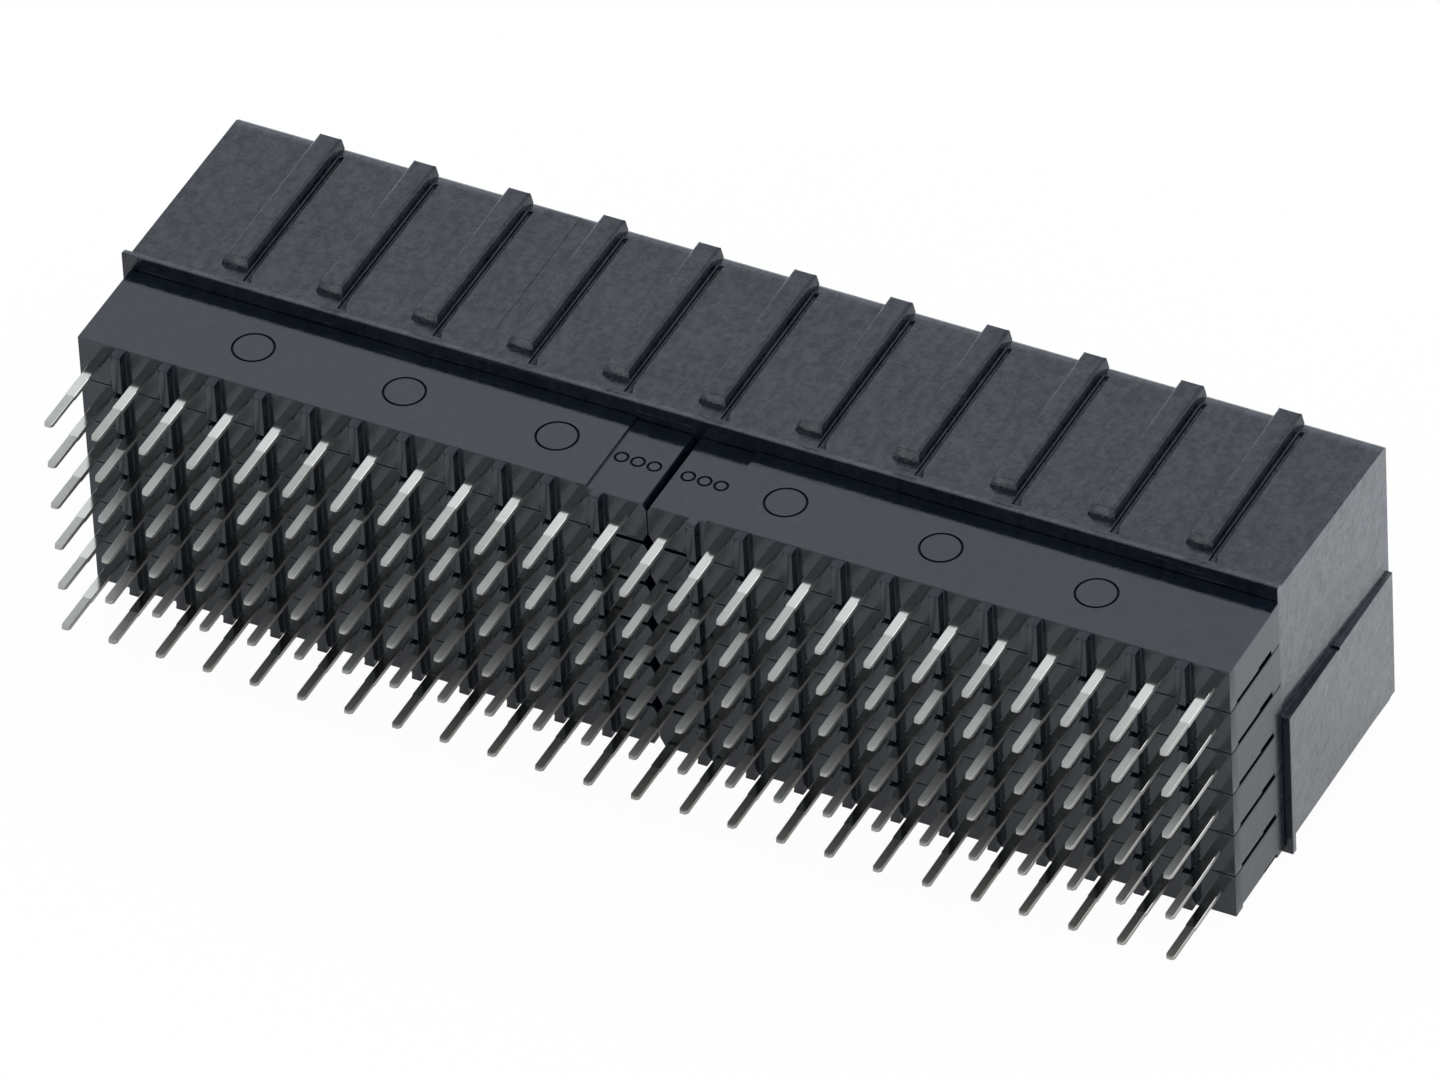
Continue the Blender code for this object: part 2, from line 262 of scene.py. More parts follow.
# %% Shader helpers
class Signal:
    """A node's output, or a whole material's node tree, that takes part in Python sums."""

    def __init__(self, tree, socket=None):
        self.tree = tree
        self.socket = socket

    def add_node(self, kind, settings, inputs, output=0):
        node = self.tree.nodes.new(kind)
        for name, value in settings.items():
            setattr(node, name, value)
        for name, value in inputs.items():
            if isinstance(value, Signal):
                self.tree.links.new(value.socket, node.inputs[name])
            else:
                node.inputs[name].default_value = value
        return Signal(self.tree, node.outputs[output])

    def maths(self, operation, *values):
        return self.add_node("ShaderNodeMath", {"operation": operation}, dict(enumerate(values)))

    def __add__(self, other):
        return self.maths("ADD", self, other)

    def __radd__(self, other):
        return self.maths("ADD", other, self)

    def __sub__(self, other):
        return self.maths("SUBTRACT", self, other)

    def __rsub__(self, other):
        return self.maths("SUBTRACT", other, self)

    def __mul__(self, other):
        return self.maths("MULTIPLY", self, other)

    def __rmul__(self, other):
        return self.maths("MULTIPLY", other, self)

    def __truediv__(self, other):
        return self.maths("DIVIDE", self, other)

    def __pow__(self, other):
        return self.maths("POWER", self, other)

    def step(self, low, high):
        """0 below low and 1 above high, with a smooth rise between them."""
        settings = {"interpolation_type": "SMOOTHSTEP"}
        return self.add_node("ShaderNodeMapRange", settings, {0: self, 1: low, 2: high})

    def blend(self, first, second):
        """The first colour where this is 0 and the second where it is 1."""
        return self.add_node("ShaderNodeMix", {"data_type": "RGBA"}, {0: self, 6: first, 7: second}, 2)


class Finish(Signal):
    """A material in the making: its coordinates in millimetres, its noises and its one shader."""

    def __init__(self, name):
        self.material = bpy.data.materials.new(name)
        self.material.use_nodes = True
        super().__init__(self.material.node_tree)
        self.shader = self.tree.nodes["Principled BSDF"]
        coordinates = self.add_node("ShaderNodeTexCoord", {}, {}, "Object")
        self.place = self.mapped(coordinates, scale=(1 / MM,) * 3)

    def mapped(self, vector, scale=(1, 1, 1), turn=(0, 0, 0), shift=(0, 0, 0)):
        inputs = {"Vector": vector, "Location": shift, "Rotation": turn, "Scale": scale}
        return self.add_node("ShaderNodeMapping", {}, inputs)

    def noise(self, scale, detail=2.0, roughness=0.5, vector=None):
        inputs = {"Vector": vector or self.place, "Scale": scale, "Detail": detail, "Roughness": roughness}
        return self.add_node("ShaderNodeTexNoise", {}, inputs)

    def cells(self, scale, vector=None):
        inputs = {"Vector": vector or self.place, "Scale": scale}
        return self.add_node("ShaderNodeTexVoronoi", {}, inputs)

    def axis(self, name):
        return self.add_node("ShaderNodeSeparateXYZ", {}, {0: self.place}, name)

    def facing(self, name):
        """1 where the surface faces straight along an axis, either way, and 0 where it lies along it."""
        normal = self.add_node("ShaderNodeTexCoord", {}, {}, "Normal")
        part = self.add_node("ShaderNodeSeparateXYZ", {}, {0: normal}, name)
        return self.maths("ABSOLUTE", part)

    def bump(self, height, depth):
        inputs = {"Height": height, "Strength": 1.0, "Distance": depth}
        return self.add_node("ShaderNodeBump", {}, inputs)

    def set(self, **sockets):
        for name, value in sockets.items():
            socket = self.shader.inputs[name.replace("_", " ")]
            if isinstance(value, Signal):
                self.tree.links.new(value.socket, socket)
            else:
                socket.default_value = value
        return self.material


# %% [markdown]
# ## The black plastic
#
# Both mouldings are a glass-filled black plastic. Its body colour is nearly black, and what the eye takes
# for grey is the white room, reflected in a semi-gloss skin. So the colour stays dark, and the detail goes
# into the roughness and the height: flow marks that the melt left, a fine grain, and a few scratches and
# specks of dust from handling. The housing's tool was rougher than the wafers', which stay smoother.

# %% Plastic finishes
END_FACES_FROM_X = 23.5


def moulded_plastic(
    name, dark, pale, index, roughness, end_roughness, mottling, end_skin, relief, speck_share
):
    """A moulded finish, whose two end faces have a roughness and a glossy skin of their own."""
    finish = Finish(name)
    far_out = finish.maths("ABSOLUTE", finish.axis("X")).step(END_FACES_FROM_X, END_FACES_FROM_X + 0.1)
    across = finish.facing("X").step(0.6, 0.8) * far_out
    broad = finish.noise(0.35, 3.0)
    flow_lines = finish.mapped(finish.place, scale=(1.9, 0.9, 0.9), turn=(0.5, 0.35, 0.6))
    flow = finish.noise(1.5, 5.0, 0.62, flow_lines)
    patches = finish.noise(3.4, 4.0, 0.65)
    grain = finish.noise(9.0, 3.0, 0.6)
    specks = 1 - finish.cells(3.1).step(0.03, 0.075)
    dusty = finish.noise(0.9, 2.0).step(1 - speck_share, 1 - speck_share + 0.08)
    dust = specks * dusty
    long_lines = finish.mapped(finish.place, scale=(0.25, 9.0, 9.0), turn=(0.2, 0.3, 0.9))
    scratch = finish.noise(1.0, 1.0, 0.4, long_lines).step(0.70, 0.74)
    tone = (broad * 0.35 + flow * 0.30 + patches * 0.25 + grain * 0.10).step(0.36, 0.64)
    colour = tone.blend((*dark, 1), (*pale, 1))
    colour = (dust * 0.4).blend(colour, (0.20, 0.20, 0.20, 1))
    smooth = roughness + across * (end_roughness - roughness)
    rough = smooth + (flow - 0.5) * 0.16 + (patches - 0.5) * 0.10 + scratch * 0.08
    height = (flow * 2.5 + patches * 1.5 + grain) * (1 + across * 1.5) + dust * 2 - scratch * 0.6
    normal = finish.bump(height, relief)
    gloss = (flow * 0.40 + patches * 0.40 + grain * 0.20).step(0.40, 0.60)
    skin = gloss * mottling + across * end_skin
    return finish.set(
        Base_Color=colour,
        Roughness=rough,
        Normal=normal,
        IOR=index,
        Coat_Weight=skin,
        Coat_Roughness=0.12,
    )


housing_plastic = moulded_plastic(
    "moulded_black_housing",
    dark=(0.001, 0.002, 0.006),
    pale=(0.007, 0.010, 0.016),
    index=1.44,
    roughness=0.15,
    end_roughness=0.25,
    mottling=0.34,
    end_skin=0.62,
    relief=0.010 * MM,
    speck_share=0.42,
)
wafer_plastic = moulded_plastic(
    "moulded_black_wafer",
    dark=(0.001, 0.003, 0.007),
    pale=(0.004, 0.007, 0.012),
    index=1.52,
    roughness=0.11,
    end_roughness=0.24,
    mottling=0.06,
    end_skin=0.08,
    relief=0.002 * MM,
    speck_share=0.36,
)
print("plastics:", housing_plastic.name, "and", wafer_plastic.name)

# %% [markdown]
# ## The tinned contacts
#
# The tails are stamped copper alloy with bright tin. The half near the body was pressed flatter and shines
# more, and the outer half was coined and is a little greyer. No two tails are quite alike, so a random
# value is taken for each cell of the contact grid, from the position alone.

# %% Tin finish
TAIL_MIDDLE_Y = contact_low.y + 1.82 * MM


def tinned_metal():
    finish = Finish("bright_tin")
    row_shift = 0.5 - TOP_ROW_Z / ROW_STEP
    cell = finish.mapped(finish.place, scale=(MM / PITCH, 0.0, MM / ROW_STEP), shift=(0, 0, row_shift))
    cell = finish.add_node("ShaderNodeVectorMath", {"operation": "FLOOR"}, {0: cell})
    own = finish.add_node("ShaderNodeTexWhiteNoise", {}, {"Vector": cell}, "Value")
    along = finish.axis("Y")
    root = along.step(TAIL_MIDDLE_Y / MM - 0.02, TAIL_MIDDLE_Y / MM + 0.02)
    sheared = finish.facing("X").step(0.75, 0.9)
    smudge = finish.noise(2.2, 4.0, 0.6)
    grain = finish.noise(12.0, 3.0, 0.6)
    dull = (own ** 2.0) * 0.45 + smudge.step(0.45, 0.75) * 0.35
    outer = dull.blend((0.43, 0.42, 0.38, 1), (0.33, 0.32, 0.28, 1))
    inner = dull.blend((0.53, 0.52, 0.48, 1), (0.43, 0.42, 0.37, 1))
    colour = root.blend(outer, inner)
    pressed = 0.33 - root * 0.26 + smudge * 0.06 + own * 0.03
    rough = pressed + sheared * (0.50 - pressed)
    normal = finish.bump(grain + smudge * 2, 0.0008 * MM)
    return finish.set(Base_Color=colour, Roughness=rough, Normal=normal, Metallic=1.0)


tin = tinned_metal()
print("metal:", tin.name)

# %% [markdown]
# ## Engraved lines
#
# Ejector pins leave rings on each wafer, and mould halves leave a fine line where they meet. Both are far
# too fine to extrude by hand, so they are cut last, after the edges are rounded: a ring is a thin torus
# sunk half-way into the face, and a line is a thin bar.

# %% Engraving tools
RING_WIRE = 0.05 * MM
RING_DEEPENING = 2.5
LINE_WIDTH = 0.03 * MM
LINE_DEPTH = 0.02 * MM


def ring_tool(centre, radius, wire=RING_WIRE):
    bpy.ops.object.select_all(action="DESELECT")
    bpy.ops.mesh.primitive_torus_add(
        location=centre, major_radius=radius, minor_radius=wire, major_segments=40, minor_segments=8
    )
    ring = bpy.context.object
    ring.scale.z = RING_DEEPENING
    bpy.ops.object.transform_apply(location=True, rotation=True, scale=True)
    return ring


# %% [markdown]
# ## A contact
#
# A contact is one flat stamping: a square-cut tail with a tapered end, a shank through the wafer, and a
# fork whose two beams grip the mating pin. It starts as a short box. The box is cut into stretches, the end
# stretches are narrowed or widened, and at the fork's root the end face is split in three and the two outer
# parts are pulled out into beams.

# %% Contact sizes
TAIL_WIDTH = 0.40 * MM
OUTER_WIDTH = 0.36 * MM
TIP_WIDTH = 0.24 * MM
TIP_THICKNESS = 0.10 * MM
TIP_LENGTH = 0.14 * MM
TAIL_EDGE = 0.018 * MM
COINING = 0.90
COINING_RAMP = 0.04 * MM
CONTACT_THICKNESS = contact_high.z - contact_low.z
FORK_WIDTH = contact_high.x - contact_low.x
FORK_START_Y = housing_low.y + 0.30 * MM
FORK_SHOULDER = 0.25 * MM
SLOT_WIDTH = 0.36 * MM
SLOT_LENGTH = 4.0 * MM
BEAM_TIP_LENGTH = 0.5 * MM
BEAM_TIP_NARROWING = 0.5


# %% Model one contact
def model_contact():
    """One contact with its middle line on the Y axis."""
    half = TAIL_WIDTH / 2
    thick = CONTACT_THICKNESS / 2
    tip_y = contact_low.y
    slot_start = contact_high.y - SLOT_LENGTH
    fork_end = FORK_START_Y + FORK_SHOULDER
    contact = box_piece("contact", (-half, tip_y, -thick), (half, slot_start, thick))
    edit(contact)
    coined_end = TAIL_MIDDLE_Y - COINING_RAMP
    for place in (tip_y + TIP_LENGTH, coined_end, TAIL_MIDDLE_Y + COINING_RAMP, FORK_START_Y, fork_end):
        cut("Y", place)
    select_faces(contact, lambda centre, normal: centre.y < coined_end)
    bpy.ops.transform.resize(value=(OUTER_WIDTH / TAIL_WIDTH, 1, COINING), center_override=(0, 0, 0))
    select_faces(contact, lambda centre, normal: centre.y > fork_end)
    bpy.ops.transform.resize(value=(FORK_WIDTH / TAIL_WIDTH, 1, 1), center_override=(0, 0, 0))
    select_faces(contact, lambda centre, normal: normal.y < -FACING)
    taper = (TIP_WIDTH / OUTER_WIDTH, 1, TIP_THICKNESS / CONTACT_THICKNESS / COINING)
    bpy.ops.transform.resize(value=taper, center_override=(0, 0, 0))
    on_shank = lambda a, b: max(a.y, b.y) < FORK_START_Y + CLOSE
    select_edges(contact, lambda a, b: on_shank(a, b) and abs(a.y - b.y) > CLOSE)
    bpy.ops.mesh.bevel(offset=TAIL_EDGE, segments=1, affect="EDGES")
    for side in (-1, 1):
        cut("X", side * SLOT_WIDTH / 2, contact, lambda centre, normal: normal.y > FACING)
    select_faces(contact, lambda centre, normal: normal.y > FACING and abs(centre.x) > SLOT_WIDTH / 2)
    pull((0, SLOT_LENGTH - BEAM_TIP_LENGTH, 0))
    pull((0, BEAM_TIP_LENGTH, 0))
    for side in (-1, 1):
        select_faces(contact, lambda centre, normal: normal.y > FACING and side * centre.x > SLOT_WIDTH / 2)
        inner = (side * SLOT_WIDTH / 2, 0, 0)
        bpy.ops.transform.resize(value=(BEAM_TIP_NARROWING, 1, 1), center_override=inner)
    leave()
    finish_shading(contact)
    return contact


contact = model_contact()
print("contact:", len(contact.data.polygons), "faces,", in_mm(contact.dimensions), "mm")


# %% [markdown]
# ## Place the contacts
#
# The top row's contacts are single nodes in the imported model, so each gets a piece of its own. In the other
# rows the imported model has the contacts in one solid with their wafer, so there a wafer's twelve contacts
# are one piece beside their wafer. A real press-fit tail is never quite straight: each copy is tilted by a
# fraction of a degree about the point where it leaves the plastic.

# %% Copy the contacts
TILT = math.radians(0.25)
FACE_Y = wafer_low.y + 0.43 * MM
FIRST_COLUMN_X = (contact_low.x + contact_high.x) / 2
chance = random.Random(7)


def column_x(side, number):
    return side * (FIRST_COLUMN_X + number * PITCH)


def row_z(row):
    return TOP_ROW_Z - (row - 1) * ROW_STEP


def placed_contact(name, x, z):
    pivot = Matrix.Translation((0, FACE_Y, 0))
    tilt = Euler((chance.uniform(-TILT, TILT), chance.uniform(-TILT, TILT), chance.uniform(-TILT, TILT)))
    turn = pivot @ tilt.to_matrix().to_4x4() @ pivot.inverted()
    return copy_of(contact, name, Matrix.Translation((x, 0, z)) @ turn)


contact_pieces = []
columns = sorted(column_x(side, number) for side in SIDES.values() for number in range(COLUMNS_PER_WAFER))
for number, x in enumerate(columns, start=1):
    piece = placed_contact(f"tinned_contact_1_{number:02d}", x, row_z(1))
    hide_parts(f"contact_row_1_{number:02d}")
    contact_pieces.append(piece)
for row in range(2, ROWS + 1):
    for side_name, side in SIDES.items():
        name = f"tinned_contacts_row_{row}_{side_name}"
        places = [column_x(side, number) for number in range(COLUMNS_PER_WAFER)]
        contact_pieces.append(join([placed_contact(name, x, row_z(row)) for x in places], name))
bpy.data.objects.remove(contact)
for piece in contact_pieces:
    piece.data.materials.append(tin)
    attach(piece, "root")
print(len(contact_pieces), "contact pieces")

# %% [markdown]
# ## A wafer
#
# A wafer is a moulded bar. Its board side has eleven standoffs between the twelve tails, with their ends
# chamfered. Its underside has a foot at each end of its depth, a relief between them and a deeper notch. At
# the middle seam its corners are cut off, and its top has a shallow field with three small plain rings.
#
# The bar is drawn at the field's level, and what lies higher or lower is pulled out of it. The standoffs
# come out of the front face, once it is cut into a grid.

# %% Wafer sizes
STANDOFF_REACH = 0.43 * MM
STANDOFF_WIDTH = 0.39 * MM
STANDOFF_END_MARGIN = 0.06 * MM
STANDOFF_CHAMFER = 0.12 * MM
FRONT_FOOT = 0.58 * MM
RELIEF_DEPTH = 0.15 * MM
NOTCH_DEPTH = 0.28 * MM
NOTCH_LENGTH = 1.15 * MM
REAR_FOOT = 0.75 * MM
FIELD_END_X = 2.5 * MM
FIELD_DEPTH = 0.12 * MM
CORNER_CHAMFER_X = 0.22 * MM
CORNER_CHAMFER_Z = 0.42 * MM
WAFER_EDGE = 0.025 * MM
EJECTOR_PLACES_X = (4.73 * MM, 11.10 * MM, 17.45 * MM)
EJECTOR_Y = -2.56 * MM
EJECTOR_RADIUS = 0.80 * MM
SMALL_RING_PLACES_X = (0.70 * MM, 1.38 * MM, 2.06 * MM)
SMALL_RING_Y = -2.55 * MM
SMALL_RING_RADIUS = 0.25 * MM


# %% Shape the bar
def standoff_offset(x):
    """How far x is from the nearest standoff's middle, or a whole pitch if it has none beside it."""
    place = (x - FIRST_COLUMN_X) / PITCH - 0.5
    nearest = round(place)
    return abs(place - nearest) * PITCH if 0 <= nearest < COLUMNS_PER_WAFER - 1 else PITCH


def shape_wafer_bar():
    inner_x, outer_x = wafer_low.x, wafer_high.x
    back_y = wafer_high.y
    notch_end = housing_low.y - REAR_FOOT
    notch_start = notch_end - NOTCH_LENGTH
    top_z, bottom_z = wafer_high.z, wafer_low.z
    field_z = top_z - FIELD_DEPTH
    relief_z = bottom_z + RELIEF_DEPTH
    bar = box_piece("wafer", (inner_x, FACE_Y, relief_z), (outer_x, back_y, field_z))
    edit(bar)
    cut("X", FIELD_END_X)
    for place in (FACE_Y + FRONT_FOOT, notch_start, notch_end):
        cut("Y", place)
    select_faces(bar, lambda centre, normal: normal.z > FACING and centre.x > FIELD_END_X)
    pull((0, 0, FIELD_DEPTH))
    feet = lambda y: y < FACE_Y + FRONT_FOOT or y > notch_end
    select_faces(bar, lambda centre, normal: normal.z < -FACING and feet(centre.y))
    pull((0, 0, -RELIEF_DEPTH))
    select_faces(bar, lambda centre, normal: normal.z < -FACING and notch_start < centre.y < notch_end)
    pull((0, 0, NOTCH_DEPTH - RELIEF_DEPTH))
    for corner_z, up in ((top_z, 1), (bottom_z, -1)):
        corner = (inner_x, 0, corner_z - up * CORNER_CHAMFER_Z)
        slice_off(corner, (-CORNER_CHAMFER_Z, 0, up * CORNER_CHAMFER_X))
    leave()
    return bar


def pull_out_standoffs(bar):
    low, high = wafer_low.z + STANDOFF_END_MARGIN, wafer_high.z - STANDOFF_END_MARGIN
    front = lambda centre, normal: normal.y < -FACING and centre.y < FACE_Y + CLOSE
    edit(bar)
    for number in range(COLUMNS_PER_WAFER - 1):
        middle = column_x(1, number) + PITCH / 2
        for edge in (-1, 1):
            cut("X", middle + edge * STANDOFF_WIDTH / 2, bar, front)
    for place in (low, high):
        cut("Z", place, bar, front)
    ends = lambda centre: low < centre.z < high and standoff_offset(centre.x) < STANDOFF_WIDTH / 2
    select_faces(bar, lambda centre, normal: front(centre, normal) and ends(centre))
    pull((0, -STANDOFF_REACH, 0))
    tip_y = wafer_low.y + CLOSE
    select_edges(bar, lambda a, b: max(a.y, b.y) < tip_y and abs(a.z - b.z) < CLOSE)
    bpy.ops.mesh.bevel(offset=STANDOFF_CHAMFER, segments=1, affect="EDGES")
    leave()


# %% Engrave and finish the bar
def engrave_wafer(bar):
    """Ejector rings, and the small rings of the shallow field."""
    tools = [ring_tool((x, EJECTOR_Y, wafer_high.z), EJECTOR_RADIUS) for x in EJECTOR_PLACES_X]
    field_z = wafer_high.z - FIELD_DEPTH
    tools += [ring_tool((x, SMALL_RING_Y, field_z), SMALL_RING_RADIUS) for x in SMALL_RING_PLACES_X]
    use_up(bar, join(tools, "engraving"), "DIFFERENCE")


wafer = shape_wafer_bar()
pull_out_standoffs(wafer)
round_edges(wafer, WAFER_EDGE)
engrave_wafer(wafer)
wafer.data.materials.append(wafer_plastic)
for row in range(1, ROWS + 1):
    for side_name, side in SIDES.items():
        move = Matrix.Translation((0, 0, row_z(row) - row_z(1))) @ Matrix.Scale(side, 4, (1, 0, 0))
        piece = copy_of(wafer, f"moulded_wafer_{row}_{side_name}", move)
        finish_shading(piece)
        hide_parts(f"wafer_row_{row}_{side_name}")
        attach(piece, "root")
bpy.data.objects.remove(wafer)
print("wafer:", len(piece.data.polygons), "faces")

# %% [markdown]
# ## The housing
#
# The housing is one moulding. Its block is pulled out into the rim along the near face, with a sharp lip on
# top and a foot below, and into the raised pad on the right-hand end. A groove is pushed in beside each
# rib's place. The mating face is cut into a grid, each of its 144 openings is inset to make the lead-in,
# and then pushed in to make the cavity. The ribs are modelled once, copied eleven times above and eleven
# below, and joined on with a Boolean.

# %% Housing sizes
RIB_HEIGHT = 0.44 * MM
RIB_WIDTH = 0.91 * MM
RIB_FOOT_SPREAD = 0.11 * MM
RIB_SHIFT = 0.07 * MM
RIB_CORNER = 0.12 * MM
RIB_START = 1.07 * MM
RIB_RAMP = 0.22 * MM
RIB_END_ROUNDING = 0.12 * MM
RIB_STEP = 2
RIB_NUMBERS = range(-5, 6)
GROOVE_GAP = 0.055 * MM
GROOVE_WIDTH = 0.18 * MM
GROOVE_START = 0.54 * MM
GROOVE_NECK = 0.96 * MM
GROOVE_END = 8.50 * MM
GROOVE_DEPTH = 0.15 * MM
POCKET_WIDTH = 0.34 * MM
LIP_RISE = 0.14 * MM
LIP_DEPTH = 0.30 * MM
LIP_HOLLOW_RISE = 0.05 * MM
LIP_HOLLOW_DEPTH = 0.13 * MM
LIP_CREST = 0.05 * MM
RIM_LEFT_REACH = 0.24 * MM
RIGHT_DRAFT = 0.21 * MM
END_PAD_REACH = 0.36 * MM
END_PAD_TOP_Z = (row_z(1) + row_z(ROWS)) / 2 + 0.38 * MM
END_PAD_BOTTOM_Z = (row_z(1) + row_z(ROWS)) / 2 - 5.50 * MM
NICK_Y = 3.85 * MM
NICK_WIDTH = 0.20 * MM
NICK_DEPTH = 0.08 * MM
BOTTOM_CHAMFER = 0.15 * MM
TOP_CHAMFER_Y = 0.17 * MM
TOP_CHAMFER_Z = 0.09 * MM
CAVITY_WIDTH = 1.04 * MM
CAVITY_HEIGHT = 0.94 * MM
CAVITY_FLOOR = 0.20 * MM
LEAD_IN_DEPTH = 0.35 * MM
LEAD_IN_SPREAD = 0.18 * MM
HOUSING_EDGE = 0.03 * MM
SUNK = 0.05 * MM
MOULD_LINE_X = -9.3 * MM
MOULD_LINE_Y = (1.5 * MM, 8.5 * MM)

LEFT_X = housing_low.x + RIM_LEFT_REACH
RIGHT_X = housing_high.x - END_PAD_REACH
STEP_Y = housing_low.y
MATING_Y = housing_high.y
BLOCK_TOP_Z = housing_high.z - RIB_HEIGHT
BLOCK_BOTTOM_Z = housing_low.z + RIB_HEIGHT


# %% Block, rim and end pad
def shape_housing_block():
    block = box_piece("housing", (LEFT_X, STEP_Y, BLOCK_BOTTOM_Z), (RIGHT_X, MATING_Y, BLOCK_TOP_Z))
    edit(block)
    at_mating_face = lambda a, b: min(a.y, b.y) > MATING_Y - SUNK
    select_edges(block, lambda a, b: at_mating_face(a, b) and min(a.x, b.x) > RIGHT_X - SUNK)
    bpy.ops.transform.translate(value=(RIGHT_DRAFT, 0, 0))
    select_edges(block, lambda a, b: at_mating_face(a, b) and max(a.z, b.z) < BLOCK_BOTTOM_Z + SUNK)
    bpy.ops.mesh.bevel(offset=BOTTOM_CHAMFER, segments=1, affect="EDGES")
    slice_off((0, MATING_Y, BLOCK_TOP_Z - TOP_CHAMFER_Z), (0, TOP_CHAMFER_Z, TOP_CHAMFER_Y))
    cut("Y", STEP_Y + LIP_DEPTH)
    rim = lambda centre: centre.y < STEP_Y + LIP_DEPTH
    hollow = (LIP_HOLLOW_RISE, LIP_HOLLOW_DEPTH)
    crest = (LIP_RISE - LIP_HOLLOW_RISE, LIP_DEPTH - LIP_CREST - LIP_HOLLOW_DEPTH)
    for rise, draw_in in (hollow, crest):
        select_faces(block, lambda centre, normal: normal.z > FACING and rim(centre))
        pull((0, 0, rise))
        top_z = max(vert.co.z for vert in bmesh.from_edit_mesh(block.data).verts)
        at_top = lambda a, b: min(a.z, b.z) > top_z - CUT_THRESHOLD
        select_edges(block, lambda a, b: at_top(a, b) and min(a.y, b.y) > STEP_Y + SUNK / 2)
        bpy.ops.transform.translate(value=(0, -draw_in, 0))
    select_faces(block, lambda centre, normal: normal.z < -FACING and rim(centre))
    pull((0, 0, -RIB_HEIGHT))
    select_faces(block, lambda centre, normal: normal.x < -FACING and rim(centre))
    pull((-RIM_LEFT_REACH, 0, 0))
    for place in (END_PAD_TOP_Z, END_PAD_BOTTOM_Z):
        cut("Z", place, block, lambda centre, normal: normal.x > FACING)
    pad = lambda centre: END_PAD_BOTTOM_Z < centre.z < END_PAD_TOP_Z
    foot = lambda centre: rim(centre) and centre.z < END_PAD_BOTTOM_Z
    select_faces(block, lambda centre, normal: normal.x > FACING and (pad(centre) or foot(centre)))
    pull((END_PAD_REACH, 0, 0))
    bpy.ops.transform.resize(value=(0, 1, 1), center_override=(RIGHT_X + END_PAD_REACH, 0, 0))
    leave()
    return block


# %% Grooves beside the ribs
def sink_grooves(block):
    """A narrow groove to the right of each rib's place, wider at its near end, on the top and underside."""
    near, neck, far = (STEP_Y + place for place in (GROOVE_START, GROOVE_NECK, GROOVE_END))
    beside_rib = RIB_SHIFT + RIB_WIDTH / 2 + RIB_FOOT_SPREAD + GROOVE_GAP
    lefts = [beside_rib + number * RIB_STEP * PITCH for number in RIB_NUMBERS]
    edit(block)
    for up, level in ((1, BLOCK_TOP_Z), (-1, BLOCK_BOTTOM_Z)):
        outer = lambda centre, normal: up * normal.z > FACING and abs(centre.z - level) < CLOSE
        for place in (near, neck, far):
            cut("Y", place, block, outer)
        groove = lambda centre, normal: outer(centre, normal) and near < centre.y < far
        pocket = lambda centre, normal: outer(centre, normal) and near < centre.y < neck
        for left in lefts:
            for place in (left, left + GROOVE_WIDTH):
                cut("X", place, block, groove)
            cut("X", left + POCKET_WIDTH, block, pocket)

        def sunk(centre, normal):
            width = POCKET_WIDTH if centre.y < neck else GROOVE_WIDTH
            return groove(centre, normal) and any(left < centre.x < left + width for left in lefts)

        select_faces(block, sunk)
        pull((0, 0, -up * GROOVE_DEPTH))
    corner = lambda vert: abs(vert.y - neck) < CLOSE and any(
        abs(vert.x - left - POCKET_WIDTH) < CLOSE for left in lefts
    )
    select_edges(block, lambda a, b: corner(a) and corner(b))
    bpy.ops.transform.translate(value=(GROOVE_WIDTH - POCKET_WIDTH, 0, 0))
    bpy.ops.mesh.select_all(action="SELECT")
    bpy.ops.mesh.remove_doubles(threshold=MERGE_DISTANCE)
    leave()


# %% Contact cavities
def opening_offset(x, z):
    """How far a point of the mating face is from the nearest opening's middle, across and up."""
    across = (x - FIRST_COLUMN_X) / PITCH
    up = (row_z(1) - z) / ROW_STEP
    return abs(across - round(across)) * PITCH, abs(up - round(up)) * ROW_STEP


def open_cavities(block):
    mating = lambda centre, normal: normal.y > FACING and centre.y > MATING_Y - CLOSE
    half_width = CAVITY_WIDTH / 2 + LEAD_IN_SPREAD
    half_height = CAVITY_HEIGHT / 2 + LEAD_IN_SPREAD
    edit(block)
    for x in columns:
        for edge in (-1, 1):
            cut("X", x + edge * half_width, block, mating)
    for row in range(1, ROWS + 1):
        for edge in (-1, 1):
            cut("Z", row_z(row) + edge * half_height, block, mating)

    def opening(centre, normal):
        across, up = opening_offset(centre.x, centre.z)
        return mating(centre, normal) and across < half_width / 2 and up < half_height / 2

    found = select_faces(block, opening)
    bpy.ops.mesh.inset(thickness=LEAD_IN_SPREAD, depth=-LEAD_IN_DEPTH, use_individual=True)
    pull((0, STEP_Y + CAVITY_FLOOR - (MATING_Y - LEAD_IN_DEPTH), 0))
    leave()
    print(found, "contact cavities")


